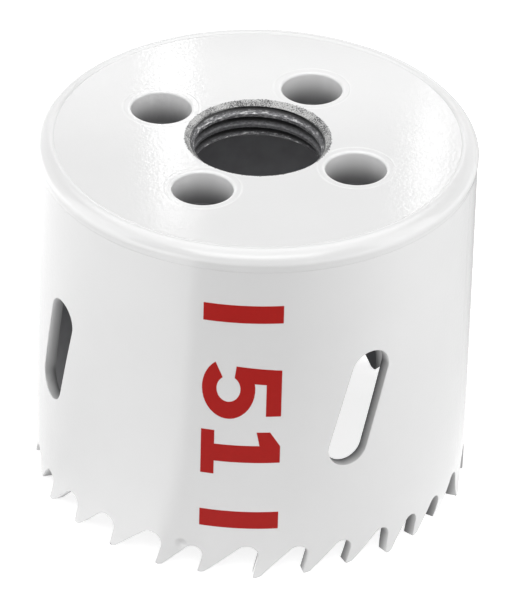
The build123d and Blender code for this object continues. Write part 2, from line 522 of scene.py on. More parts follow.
@dataclass(frozen=True)
class TappedSteel:
    """Steel as the tap left it: grooves in painted shade, scuffed crests and a mouth of chipped enamel.

    Cut steel gives the eye near black painted shade in the grooves, a dull grey sheen on the
    flanks and torn, whitish crests where overspray and wear meet.
    """

    # Painted shade: near black at the thread's roots
    groove_shade: str = "#1F1F20"
    crest: str = "#4C4C4E"
    rubbed: str = "#87878A"
    scuff: str = "#EDEDED"
    chip: str = "#D2D2D1"
    pit: str = "#4A4A4C"
    gloss: float = 0.45
    metal: float = 0.35
    scuffs: Blotches = Blotches(0.8, 0.53, 0.68, stretch=(1.0, 1.0, 5.0))
    tears: Blotches = Blotches(0.35, 0.35, 0.7, stretch=(1.0, 1.0, 3.0))
    tool_marks: Blotches = Blotches(0.3, 0.2, 0.8, stretch=(1.0, 1.0, 2.0))
    tool_depth: float = 0.05
    chips: Blotches = Blotches(0.13, 0.4, 0.6)
    chip_patches: Blotches = Blotches(2.2, 0.35, 0.65)
    # What is added to the chips' noise where the enamel held badly and where it held well
    hold: tuple[float, float] = (-0.06, 0.1)
    # Painted shade darkens the thread from a little outside its core to a little inside its root
    groove_shade_span: tuple[float, float] = (SAW.core_radius + 0.12, SAW.major_radius - 0.15)
    first_turn: tuple[float, float] = (41.0, 42.2)
    torn_turns: tuple[float, float] = (39.8, 42.2)
    least_torn: float = 0.4
    # The last edge is worn where the back chamfer begins
    last_edge: tuple[float, float] = (SAW.plate_bottom + SAW.back_chamfer + 0.16,
                                      SAW.plate_bottom + SAW.back_chamfer + 0.06)
    last_wear: float = 0.7
    mouth_bottom: float = 42.62
    mouth_blend: float = 0.1

    def material(self) -> bpy.types.Material:
        """Make the finish of the tapped bore.

        Returns:
            The new material.
        """
        material, shader = new_material("tapped_steel")
        tree = material.node_tree
        spot = add_node(tree, "ShaderNodeTexCoord").outputs["Object"]
        height = add_node(tree, "ShaderNodeSeparateXYZ", [spot]).outputs["Z"]
        _, radius = off_axis(tree, spot)
        shade_depth = add_node(tree, "ShaderNodeMapRange",
                         {"Value": radius, "From Min": self.groove_shade_span[0] * MM,
                          "From Max": self.groove_shade_span[1] * MM})
        # Wear rubbed the crests: the first turn grey with white blotches, and the last edge bright
        high = add_node(tree, "ShaderNodeMapRange",
                        {"Value": height, "From Min": self.first_turn[0] * MM,
                         "From Max": self.first_turn[1] * MM})
        edge = add_node(tree, "ShaderNodeMapRange",
                        {"Value": height, "From Min": self.last_edge[0] * MM,
                         "From Max": self.last_edge[1] * MM, "To Max": self.last_wear})
        ends = add_node(tree, "ShaderNodeMath", [high.outputs["Result"], edge.outputs["Result"]],
                        operation="MAXIMUM")
        worn = add_node(tree, "ShaderNodeMath",
                        [self.scuffs.cut(tree), ends.outputs[0]], operation="MULTIPLY")
        share = add_node(tree, "ShaderNodeMapRange",
                         {"Value": height, "From Min": self.torn_turns[0] * MM,
                          "From Max": self.torn_turns[1] * MM, "To Min": self.least_torn,
                          "To Max": 1.0})
        torn = add_node(tree, "ShaderNodeMath",
                        [self.tears.cut(tree), share.outputs["Result"]], operation="MULTIPLY")
        plain = add_node(tree, "ShaderNodeMix",
                         {0: torn.outputs[0], 6: linear(self.crest), 7: linear(self.rubbed)},
                         data_type="RGBA")
        crest = add_node(tree, "ShaderNodeMix",
                         {0: worn.outputs[0], 6: plain.outputs[2], 7: linear(self.scuff)},
                         data_type="RGBA")
        # Painted shade: the grooves go near black
        turned = add_node(tree, "ShaderNodeMix",
                          {0: shade_depth.outputs["Result"], 6: crest.outputs[2],
                           7: linear(self.groove_shade)}, data_type="RGBA")
        # The tap chipped the enamel at the mouth, which left it salt and pepper, in patches
        mouth = add_node(tree, "ShaderNodeMapRange",
                         {"Value": height, "From Min": self.mouth_bottom * MM,
                          "From Max": (self.mouth_bottom + self.mouth_blend) * MM})
        held = add_node(tree, "ShaderNodeMapRange",
                        {"Value": self.chip_patches.cut(tree), "To Min": self.hold[0],
                         "To Max": self.hold[1]})
        grains = add_node(tree, "ShaderNodeMix",
                          {0: self.chips.cut(tree, held.outputs["Result"]), 6: linear(self.pit),
                           7: linear(self.chip)}, data_type="RGBA")
        colour = add_node(tree, "ShaderNodeMix",
                          {0: mouth.outputs["Result"], 6: turned.outputs[2], 7: grains.outputs[2]},
                          data_type="RGBA")
        metal = add_node(tree, "ShaderNodeMapRange",
                         {"Value": mouth.outputs["Result"], "To Min": self.metal, "To Max": 0.0})
        # The tap's teeth tore along the thread, which roughens its flanks
        bump = add_node(tree, "ShaderNodeBump",
                        {"Height": self.tool_marks.cut(tree), "Strength": 1.0,
                         "Distance": self.tool_depth * MM})
        tree.links.new(colour.outputs[2], shader.inputs["Base Color"])
        tree.links.new(metal.outputs["Result"], shader.inputs["Metallic"])
        tree.links.new(bump.outputs["Normal"], shader.inputs["Normal"])
        shader.inputs["Roughness"].default_value = self.gloss
        return material


@dataclass(frozen=True)
class PrintInk:
    """Red screen ink: an opaque film that lies on the enamel.

    It gives the eye one flat, deep red with a satin face, duller than the enamel round it.
    """

    red: str = "#B31712"
    deep: str = "#A8140F"
    gloss: float = 0.4
    specular: float = 0.2
    mesh_pitch: float = 0.5
    mesh_height: float = 0.004

    def material(self) -> bpy.types.Material:
        """Make the ink.

        Returns:
            The new material.
        """
        material, shader = new_material("red_screen_ink")
        tree = material.node_tree
        spot = add_node(tree, "ShaderNodeTexCoord").outputs["Object"]
        # The mesh of the screen leaves the film thicker and thinner, drawn coarse enough to show
        film = add_node(tree, "ShaderNodeTexNoise",
                        {"Vector": spot, "Scale": 1 / (self.mesh_pitch * MM), "Detail": 3.0})
        colour = add_node(tree, "ShaderNodeMix",
                          {0: film.outputs["Fac"], 6: linear(self.deep), 7: linear(self.red)},
                          data_type="RGBA")
        bump = add_node(tree, "ShaderNodeBump",
                        {"Height": film.outputs["Fac"], "Strength": 1.0,
                         "Distance": self.mesh_height * MM})
        tree.links.new(colour.outputs[2], shader.inputs["Base Color"])
        tree.links.new(bump.outputs["Normal"], shader.inputs["Normal"])
        shader.inputs["Roughness"].default_value = self.gloss
        shader.inputs["Specular IOR Level"].default_value = self.specular
        return material


@dataclass
class ToothedBand:
    """The strip rolled into a ring: the CAD node itself, under enamel outside and bare inside."""

    enamel: BakedEnamel = BakedEnamel()

    def dress(self) -> bpy.types.Object:
        """Give the band its enamel.

        Returns:
            The CAD node of the band.
        """
        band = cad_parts["toothed_band"]
        finish = self.enamel.material("enamel_on_strip", Coverage.WALL)
        for slot in band.material_slots:
            slot.material = finish
        return band


@dataclass
class WeldBead:
    """The run of weld metal that rounds the corner, linished and painted over."""

    ring_inner: float = SAW.inner_radius
    ring_outer: float = SAW.wall_radius
    foot: float = SAW.strip_top
    bulge_radius: float = 25.2
    bulge_height: float = 41.88
    crest_radius: float = 23.63
    crest_height: float = 43.45
    toe_radius: float = 23.2
    toe_height: float = 43.305
    toe_depth: float = 0.1
    bevel_height: float = 42.9
    crown_steps: int = 12
    # The bead laps a little way down the wall and over the plate, in thin edges
    skirt: tuple[tuple[float, float], ...] = ((25.06, 41.02), (25.108, 41.07), (25.112, 41.25),
                                              (25.125, 41.45), (25.145, 41.6), (25.172, 41.74))
    toe: tuple[tuple[float, float], ...] = ((23.5, 43.437), (23.39, 43.4), (23.29, 43.345))
    segments: int = 288
    ripple: float = 0.09
    ripple_pitch: float = 9.0
    seed: float = 3.0
    crease: float = 30.0
    enamel: BakedEnamel = BakedEnamel()

    def section(self) -> list[tuple[float, float]]:
        """Draw the bead's closed outline.

        Returns:
            Its points, as radius and height in millimetres.
        """
        points = [(self.ring_inner, self.foot), (self.skirt[0][0], self.foot), *self.skirt]
        for step in range(self.crown_steps + 1):
            turn = math.pi / 2 * step / self.crown_steps
            points.append((self.crest_radius + (self.bulge_radius - self.crest_radius) * math.cos(turn),
                           self.bulge_height + (self.crest_height - self.bulge_height) * math.sin(turn)))
        points += [*self.toe, (self.toe_radius, self.toe_height)]
        points.append((self.toe_radius, self.toe_height - self.toe_depth))
        points.append((self.ring_inner, self.bevel_height))
        return points

    def tree(self) -> bpy.types.NodeTree:
        """Sweep the section round the axis and make it uneven.

        Returns:
            The Geometry Nodes group.
        """
        tree, given = new_tree("weld_bead", [("Ring Radius", "NodeSocketFloat"),
                                             ("Segments", "NodeSocketInt"),
                                             ("Ripple", "NodeSocketFloat"),
                                             ("Ripple Scale", "NodeSocketFloat"),
                                             ("Bulge Foot", "NodeSocketFloat"),
                                             ("Bulge", "NodeSocketFloat"),
                                             ("Seed", "NodeSocketFloat"),
                                             ("Finish", "NodeSocketMaterial")])
        section = add_node(tree, "GeometryNodeMeshToCurve", [given.outputs["Geometry"]])
        circle = add_node(tree, "GeometryNodeCurvePrimitiveCircle",
                          {"Resolution": given.outputs["Segments"],
                           "Radius": given.outputs["Ring Radius"]})
        bead = add_node(tree, "GeometryNodeCurveToMesh",
                        {"Curve": circle.outputs["Curve"], "Profile Curve": section.outputs[0]})
        place = add_node(tree, "GeometryNodeInputPosition")
        ripple = add_node(tree, "ShaderNodeTexNoise",
                          {"Vector": place.outputs[0], "W": given.outputs["Seed"],
                           "Scale": given.outputs["Ripple Scale"], "Detail": 1.0},
                          noise_dimensions="4D")
        height = add_node(tree, "ShaderNodeMath", [ripple.outputs["Fac"], 0.5], operation="SUBTRACT")
        lift = add_node(tree, "ShaderNodeMath", [height.outputs[0], given.outputs["Ripple"]],
                        operation="MULTIPLY")
        # Only the bulge is uneven: its edges stay where they meet the wall and the plate
        parts = add_node(tree, "ShaderNodeSeparateXYZ", [place.outputs[0]])
        share = add_node(tree, "ShaderNodeMapRange",
                         {"Value": parts.outputs["Z"], "From Min": given.outputs["Bulge Foot"],
                          "From Max": given.outputs["Bulge"]}, interpolation_type="SMOOTHSTEP")
        lift = add_node(tree, "ShaderNodeMath", [lift.outputs[0], share.outputs["Result"]],
                        operation="MULTIPLY")
        outward = add_node(tree, "ShaderNodeVectorMath", [place.outputs[0], (1.0, 1.0, 0.0)],
                           operation="MULTIPLY")
        outward = add_node(tree, "ShaderNodeVectorMath", [outward.outputs[0]], operation="NORMALIZE")
        push = add_node(tree, "ShaderNodeVectorMath",
                        {0: outward.outputs[0], "Scale": lift.outputs[0]}, operation="SCALE")
        uneven = add_node(tree, "GeometryNodeSetPosition",
                          {"Geometry": bead.outputs[0], "Offset": push.outputs[0]})
        whole = add_node(tree, "GeometryNodeRealizeInstances", [uneven.outputs[0]])
        dressed = add_node(tree, "GeometryNodeSetMaterial",
                           {"Geometry": whole.outputs[0], "Material": given.outputs["Finish"]})
        add_node(tree, "NodeGroupOutput", [dressed.outputs[0]])
        return tree

    def build(self) -> bpy.types.Object:
        """Make the bead in place of its CAD node.

        Returns:
            The new piece.
        """
        points = self.section()
        middle = (self.ring_inner + self.ring_outer) / 2
        mesh = bpy.data.meshes.new("weld_bead")
        mesh.from_pydata([((r - middle) * MM, -z * MM, 0) for r, z in points],
                         [(i, (i + 1) % len(points)) for i in range(len(points))], [])
        piece = new_object("weld_bead", mesh)
        bake(piece, self.tree(), {
            "Ring Radius": middle * MM, "Segments": self.segments, "Ripple": 2 * self.ripple * MM,
            "Ripple Scale": 1 / (self.ripple_pitch * MM), "Seed": self.seed,
            "Bulge Foot": self.foot * MM, "Bulge": self.bulge_height * MM,
            "Finish": self.enamel.material("enamel_on_weld", Coverage.FULL)})
        close_and_smooth(piece.data, self.crease)
        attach(piece, BODY)
        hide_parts("weld_ring")
        return piece


@dataclass
class EndPlate:
    """The thick disc in the ring's top: four drive pin holes round a tapped arbor hole."""

    radius: float = SAW.inner_radius
    top: float = SAW.plate_top
    bottom: float = SAW.plate_bottom
    weld_bevel: float = 0.4
    core_radius: float = SAW.core_radius
    major_radius: float = SAW.major_radius
    thread_pitch: float = 25.4 / 18
    thread_start: float = 0.35
    # Flats of the thread form, in parts of its pitch
    crest_flat: float = 0.25
    root_flat: float = 0.125
    mouth_chamfer: float = SAW.mouth_chamfer
    back_chamfer: float = SAW.back_chamfer
    pin_radius: float = SAW.pin_radius
    pin_circle: float = SAW.pin_circle
    pin_angle: float = SAW.pin_angle
    pin_count: int = 4
    pin_edge: float = 0.28
    pin_flare: float = 0.3
    # Narrow bands of the flat faces along the rim and along the holes
    rim_band: float = 0.3
    hole_band: float = 0.2
    rim_segments: int = 192
    bore_segments: int = 192
    pin_segments: int = 96
    edge_steps: int = 9
    thread_turns: int = 5
    rows_in_turn: int = 16
    crease: float = 28.0
    enamel: BakedEnamel = BakedEnamel()
    tapped: TappedSteel = TappedSteel()

    def circle(self, radius: float, count: int, centre: tuple[float, float] = (0.0, 0.0)) -> list[Vector]:
        """Points round a circle, in millimetres, that start opposite the X axis.

        Args:
            radius: Radius of the circle.
            count: Number of points.
            centre: Middle of the circle.

        Returns:
            The points in order.
        """
        turns = [-math.pi + 2 * math.pi * step / count for step in range(count)]
        return [Vector((centre[0] + radius * math.cos(t), centre[1] + radius * math.sin(t)))
                for t in turns]

    def pin_centres(self) -> list[tuple[float, float]]:
        """Work out the middles of the drive pin holes.

        Returns:
            The middles, in millimetres.
        """
        turns = [math.radians(self.pin_angle) + 2 * math.pi * n / self.pin_count
                 for n in range(self.pin_count)]
        return [(self.pin_circle / 2 * math.cos(t), self.pin_circle / 2 * math.sin(t)) for t in turns]

    def face(self, mesh: bmesh.types.BMesh, height: float, rim: float, bore: float) -> None:
        """Add one flat face of the plate with its five holes.

        Args:
            mesh: Mesh that the face is added to.
            height: Height of the face in millimetres.
            rim: Radius of its outer edge.
            bore: Radius of its middle hole.
        """
        pin = self.pin_radius + self.pin_flare
        holes = [((0.0, 0.0), bore)] + [(centre, pin) for centre in self.pin_centres()]
        loops = [self.circle(rim, self.rim_segments),
                 self.circle(rim - self.rim_band, self.rim_segments),
                 self.circle(bore, self.bore_segments),
                 self.circle(bore + self.hole_band, self.bore_segments)]
        for centre in self.pin_centres():
            loops.append(self.circle(pin, self.pin_segments, centre))
            loops.append(self.circle(pin + self.hole_band, self.pin_segments, centre))
        points: list[Vector] = []
        edges: list[tuple[int, int]] = []
        for loop in loops:
            first = len(points)
            points += loop
            edges += [(first + i, first + (i + 1) % len(loop)) for i in range(len(loop))]
        placed, _, faces, *_ = delaunay_2d_cdt(points, edges, [], 0, NO_LENGTH)
        verts = [mesh.verts.new((p.x * MM, p.y * MM, height * MM)) for p in placed]
        for corners in faces:
            middle = sum((placed[i] for i in corners), Vector((0, 0))) / len(corners)
            if any((middle - Vector(centre)).length < reach for centre, reach in holes):
                continue
            mesh.faces.new([verts[i] for i in corners])

    def blank(self) -> bpy.types.Mesh:
        """Make the plate before it is drilled and tapped.

        Returns:
            Mesh of its two faces and its rim.
        """
        mesh = bmesh.new()
        self.face(mesh, self.top, self.radius - self.weld_bevel, self.core_radius + self.mouth_chamfer)
        self.face(mesh, self.bottom, self.radius, self.core_radius + self.back_chamfer)
        rows = [(self.radius - self.weld_bevel, self.top), (self.radius, self.top - self.weld_bevel),
                (self.radius, self.bottom)]
        rings = [[mesh.verts.new((p.x * MM, p.y * MM, height * MM))
                  for p in self.circle(radius, self.rim_segments)] for radius, height in rows]
        for upper, lower in zip(rings, rings[1:]):
            for i in range(self.rim_segments):
                j = (i + 1) % self.rim_segments
                mesh.faces.new((upper[i], upper[j], lower[j], lower[i]))
        data = bpy.data.meshes.new("end_plate_tapped")
        mesh.to_mesh(data)
        mesh.free()
        return data

    def thread(self, tree: bpy.types.NodeTree, given: bpy.types.Node) -> bpy.types.NodeSocket:
        """Add the nodes of the tapped bore: a sheet of rows that follow the thread's helix.

        Args:
            tree: The drilling and tapping group.
            given: Its Group Input node.

        Returns:
            Geometry of the bore's wall.
        """
        top, bottom = given.outputs["Top"], given.outputs["Bottom"]
        core, pitch = given.outputs["Core Radius"], given.outputs["Thread Pitch"]
        # A row's place is in turns of the thread, from the middle of the plate
        sheet = add_node(tree, "GeometryNodeMeshGrid",
                         {"Size X": 2 * math.pi, "Size Y": float(self.thread_turns),
                          "Vertices X": self.bore_segments + 1,
                          "Vertices Y": self.rows_in_turn * self.thread_turns + 1})
        place = add_node(tree, "ShaderNodeSeparateXYZ",
                         [add_node(tree, "GeometryNodeInputPosition").outputs[0]])
        turn, row = place.outputs["X"], place.outputs["Y"]
        lead = add_node(tree, "ShaderNodeMath", [turn, 1 / (2 * math.pi), row], operation="MULTIPLY_ADD")
        centre = add_node(tree, "ShaderNodeMath", [top, bottom], operation="ADD")
        centre = add_node(tree, "ShaderNodeMath", [centre.outputs[0], 0.5], operation="MULTIPLY")
        centre = add_node(tree, "ShaderNodeMath", [centre.outputs[0], given.outputs["Thread Start"]],
                          operation="ADD")
        rise = add_node(tree, "ShaderNodeMath", [lead.outputs[0], pitch, centre.outputs[0]],
                        operation="MULTIPLY_ADD")
        z = add_node(tree, "ShaderNodeClamp",
                     {"Value": rise.outputs[0], "Min": bottom, "Max": top}).outputs[0]
        # The form repeats mirrored each half pitch: half a crest, a slope and half a root
        wave = add_node(tree, "ShaderNodeMath", [row, 0.5], operation="PINGPONG")
        slope = add_node(tree, "ShaderNodeMapRange",
                         {"Value": wave.outputs[0], "From Min": self.crest_flat / 2,
                          "From Max": 0.5 - self.root_flat / 2, "To Min": core,
                          "To Max": given.outputs["Major Radius"]})
        fall = add_node(tree, "ShaderNodeMath", [z, top], operation="SUBTRACT")
        mouth = add_node(tree, "ShaderNodeMath", [fall.outputs[0], given.outputs["Mouth Radius"]],
                         operation="ADD")
        climb = add_node(tree, "ShaderNodeMath", [bottom, z], operation="SUBTRACT")
        back = add_node(tree, "ShaderNodeMath", [climb.outputs[0], given.outputs["Back Radius"]],
                        operation="ADD")
        radius = add_node(tree, "ShaderNodeMath", [slope.outputs[0], mouth.outputs[0]],
                          operation="MAXIMUM")
        radius = add_node(tree, "ShaderNodeMath", [radius.outputs[0], back.outputs[0]],
                          operation="MAXIMUM")
        cut = add_node(tree, "GeometryNodeStoreNamedAttribute",
                       {"Geometry": rolled(tree, sheet, turn, radius.outputs[0], z),
                        "Name": "tapped", "Value": True}, data_type="BOOLEAN", domain="FACE")
        return cut.outputs[0]

    def pin_holes(self, tree: bpy.types.NodeTree, given: bpy.types.Node) -> bpy.types.NodeSocket:
        """Add the nodes of one hole's wall with soft edges, put at each hole of the circle.

        Args:
            tree: The drilling and tapping group.
            given: Its Group Input node.

        Returns:
            Geometry of the holes' walls.
        """
        top, bottom, edge = given.outputs["Top"], given.outputs["Bottom"], given.outputs["Pin Edge"]
        quarter = math.pi / 2
        # Rows run through the upper edge's quarter turn, the straight wall and the lower edge
        sheet = add_node(tree, "GeometryNodeMeshGrid",
                         {"Size X": 2 * math.pi, "Size Y": 3 * quarter,
                          "Vertices X": self.pin_segments + 1, "Vertices Y": 3 * self.edge_steps + 1})
        place = add_node(tree, "ShaderNodeSeparateXYZ",
                         [add_node(tree, "GeometryNodeInputPosition").outputs[0]])
        turn, row = place.outputs["X"], place.outputs["Y"]
        upper = add_node(tree, "ShaderNodeMapRange",
                         {"Value": row, "From Min": 1.5 * quarter, "From Max": 0.5 * quarter,
                          "To Min": 0.0, "To Max": quarter})
        lower = add_node(tree, "ShaderNodeMapRange",
                         {"Value": row, "From Min": -0.5 * quarter, "From Max": -1.5 * quarter,
                          "To Min": 0.0, "To Max": quarter})
        run = add_node(tree, "ShaderNodeMapRange",
                       {"Value": row, "From Min": -0.5 * quarter, "From Max": 0.5 * quarter,
                        "To Min": bottom, "To Max": top})
        # At an edge the wall leans out by the flare, and it draws in from the plate's faces
        above = add_node(tree, "ShaderNodeMath", [upper.outputs[0]], operation="SINE")
        below = add_node(tree, "ShaderNodeMath", [lower.outputs[0]], operation="COSINE")
        waist = add_node(tree, "ShaderNodeMath", [above.outputs[0], below.outputs[0]],
                         operation="MULTIPLY")
        gap = add_node(tree, "ShaderNodeMath", [1.0, waist.outputs[0]], operation="SUBTRACT")
        radius = add_node(tree, "ShaderNodeMath",
                          [gap.outputs[0], given.outputs["Pin Flare"], given.outputs["Pin Radius"]],
                          operation="MULTIPLY_ADD")
        drop = add_node(tree, "ShaderNodeMath", [upper.outputs[0]], operation="COSINE")
        drop = add_node(tree, "ShaderNodeMath", [1.0, drop.outputs[0]], operation="SUBTRACT")
        lift = add_node(tree, "ShaderNodeMath", [lower.outputs[0]], operation="SINE")
        lift = add_node(tree, "ShaderNodeMath", [1.0, lift.outputs[0]], operation="SUBTRACT")
        share = add_node(tree, "ShaderNodeMath", [lift.outputs[0], drop.outputs[0]],
                         operation="SUBTRACT")
        clear_top = add_node(tree, "ShaderNodeMath", [top, edge], operation="SUBTRACT")
        clear_low = add_node(tree, "ShaderNodeMath", [bottom, edge], operation="ADD")
        straight = add_node(tree, "ShaderNodeClamp",
                            {"Value": run.outputs[0], "Min": clear_low.outputs[0],
                             "Max": clear_top.outputs[0]})
        height = add_node(tree, "ShaderNodeMath", [share.outputs[0], edge, straight.outputs[0]],
                          operation="MULTIPLY_ADD")
        wall = rolled(tree, sheet, turn, radius.outputs[0], height.outputs[0])
        centres = add_node(tree, "GeometryNodeMeshCircle",
                           {"Vertices": given.outputs["Pin Count"],
                            "Radius": given.outputs["Pin Circle"]})
        turned = add_node(tree, "GeometryNodeTransform",
                          {"Geometry": centres.outputs["Mesh"],
                           "Rotation": (0.0, 0.0, math.radians(self.pin_angle))})
        holes = add_node(tree, "GeometryNodeInstanceOnPoints",
                         {"Points": turned.outputs[0], "Instance": wall})
        return holes.outputs["Instances"]

    def tree(self) -> bpy.types.NodeTree:
        """Drill and tap the plate, and give the bore its own finish.

        Returns:
            The Geometry Nodes group.
        """
        lengths = ("Top", "Bottom", "Core Radius", "Major Radius", "Thread Pitch", "Thread Start",
                   "Mouth Radius", "Back Radius", "Pin Radius", "Pin Circle", "Pin Edge", "Pin Flare")
        tree, given = new_tree("drill_and_tap", [
            *((name, "NodeSocketFloat") for name in lengths), ("Pin Count", "NodeSocketInt"),
            ("Finish", "NodeSocketMaterial"), ("Thread Finish", "NodeSocketMaterial")])
        pieces = [given.outputs["Geometry"], self.thread(tree, given), self.pin_holes(tree, given)]
        joined = add_node(tree, "GeometryNodeJoinGeometry", {0: pieces})
        whole = add_node(tree, "GeometryNodeRealizeInstances", [joined.outputs[0]])
        painted = add_node(tree, "GeometryNodeSetMaterial",
                           {"Geometry": whole.outputs[0], "Material": given.outputs["Finish"]})
        tapped = add_node(tree, "GeometryNodeInputNamedAttribute", {"Name": "tapped"},
                          data_type="BOOLEAN")
        cut = add_node(tree, "GeometryNodeSetMaterial",
                       {"Geometry": painted.outputs[0], "Selection": tapped.outputs["Attribute"],
                        "Material": given.outputs["Thread Finish"]})
        add_node(tree, "NodeGroupOutput", [cut.outputs[0]])
        return tree

    def build(self) -> bpy.types.Object:
        """Make the plate in place of its CAD node.

        Returns:
            The new piece.
        """
        piece = new_object("end_plate_tapped", self.blank())
        bake(piece, self.tree(), {
            "Top": self.top * MM, "Bottom": self.bottom * MM, "Core Radius": self.core_radius * MM,
            "Major Radius": self.major_radius * MM, "Thread Pitch": self.thread_pitch * MM,
            "Thread Start": self.thread_start * MM,
            "Mouth Radius": (self.core_radius + self.mouth_chamfer) * MM,
            "Back Radius": (self.core_radius + self.back_chamfer) * MM,
            "Pin Radius": self.pin_radius * MM, "Pin Circle": self.pin_circle / 2 * MM,
            "Pin Edge": self.pin_edge * MM, "Pin Flare": self.pin_flare * MM,
            "Pin Count": self.pin_count,
            "Finish": self.enamel.material("enamel_on_plate", Coverage.PLATE),
            "Thread Finish": self.tapped.material()})
        close_and_smooth(piece.data, self.crease)
        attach(piece, BODY)
        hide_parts("end_plate")
        return piece


@dataclass
class SizeMark:
    """The red mark on the wall: the cut diameter between two bars, read from the top down."""

    wall_radius: float = SAW.wall_radius
    start_turn: float = -85.9
    top: float = 36.7
    length: float = 30.1
    width: float = 9.0
    bar: float = 2.3
    # A digit's points are in parts of its height across and of its body along
    digit_body: float = 11.2
    digit_gap: float = 1.7
    five_run: float = 0.71
    one_run: float = 0.53
    bowl_centre: tuple[float, float] = (0.35, 0.335)
    bowl_steps: int = 28
    wrap_cuts: int = 24
    film: float = 0.02
    film_root: float = 0.01
    ink: PrintInk = PrintInk()

    def arc(self, radii: tuple[float, float], start: float, end: float) -> list[tuple[float, float]]:
        """Points along the bowl of the five, in parts of the digit's size.

        Args:
            radii: Half width and half height of the bowl.
            start: Direction of the first point, in degrees.
            end: Direction of the last point, in degrees.

        Returns:
            The points in order.
        """
        turns = [math.radians(start + (end - start) * step / self.bowl_steps)
                 for step in range(self.bowl_steps + 1)]
        return [(self.bowl_centre[0] + radii[0] * math.cos(t),
                 self.bowl_centre[1] + radii[1] * math.sin(t)) for t in turns]

    def five(self) -> list[tuple[float, float]]:
        """Draw a five.

        Returns:
            Its outline, in parts of the digit's size.
        """
        return [(0.12, 1.0), (0.67, 1.0), (0.67, 0.81), (0.29, 0.81), (0.277, 0.635),
                *self.arc((0.36, 0.335), 103, -150), *self.arc((0.155, 0.15), -150, 150),
                (0.075, 0.43)]

    def one(self) -> list[tuple[float, float]]:
        """Draw a one with a flag and a foot.

        Returns:
            Its outline, in parts of the digit's size.
        """
        return [(0.17, 1.0), (0.37, 1.0), (0.37, 0.17), (0.53, 0.17), (0.53, 0.0), (0.0, 0.0),
                (0.0, 0.17), (0.165, 0.17), (0.165, 0.74), (0.0, 0.70), (0.0, 0.87)]

    def outlines(self) -> list[list[tuple[float, float]]]:
        """Lay out the two bars and the two digits between them.

        Returns:
            Their flat outlines, in millimetres along and across.
        """
        bars = [[(x, 0.0), (x + self.bar, 0.0), (x + self.bar, self.width), (x, self.width)]
                for x in (0.0, self.length - self.bar)]
        run = (self.five_run + self.one_run) * self.digit_body + self.digit_gap
        first = (self.length - run) / 2
        second = first + self.five_run * self.digit_body + self.digit_gap
        digits = [[(start + x * self.digit_body, y * self.width) for x, y in outline]
                  for start, outline in ((first, self.five()), (second, self.one()))]
        return bars + digits

    def build(self) -> bpy.types.Object:
        """Lay the mark on the wall.

        Returns:
            The new piece.
        """
        work = bmesh.new()
        for outline in self.outlines():
            work.faces.new([work.verts.new((x, y, 0.0)) for x, y in outline])
        raised = bmesh.ops.extrude_face_region(work, geom=work.faces[:])["geom"]
        for part in raised:
            if isinstance(part, bmesh.types.BMVert):
                part.co.z = 1.0
        # Cut across its width, the flat film bends round the wall
        for cut in range(1, self.wrap_cuts):
            bmesh.ops.bisect_plane(work, geom=work.verts[:] + work.edges[:] + work.faces[:],
                                   plane_co=(0, self.width * cut / self.wrap_cuts, 0),
                                   plane_no=(0, 1, 0))
        bmesh.ops.triangulate(work, faces=work.faces)
        for v in work.verts:
            turn = math.radians(self.start_turn) + v.co.y / self.wall_radius
            reach = (self.wall_radius + (self.film if v.co.z > 0.5 else -self.film_root)) * MM
            v.co = Vector((reach * math.cos(turn), reach * math.sin(turn), (self.top - v.co.x) * MM))
        bmesh.ops.recalc_face_normals(work, faces=work.faces)
        mesh = bpy.data.meshes.new("size_mark")
        work.to_mesh(mesh)
        work.free()
        mesh.materials.append(self.ink.material())
        piece = new_object("size_mark", mesh)
        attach(piece, BODY)
        return piece


@dataclass(frozen=True)
class SoftBox:
    """A rectangular lamp aimed at the saw; its turn is measured from the camera, to the right."""

    name: str
    turn: float
    elevation: float
    distance: float
    width: float
    height: float
    power: float


@dataclass(frozen=True)
class Ramp:
    """A change of the paper's light over a stretch of the paper.

    The stretch is in degrees of "turn" from the camera to the right, in degrees "away" from it to
    either side, or in millimetres of "reach" from the saw's axis.
    """

    name: str
    over: str
    start: float
    end: float
    low: float
    high: float
    kind: str = "LINEAR"


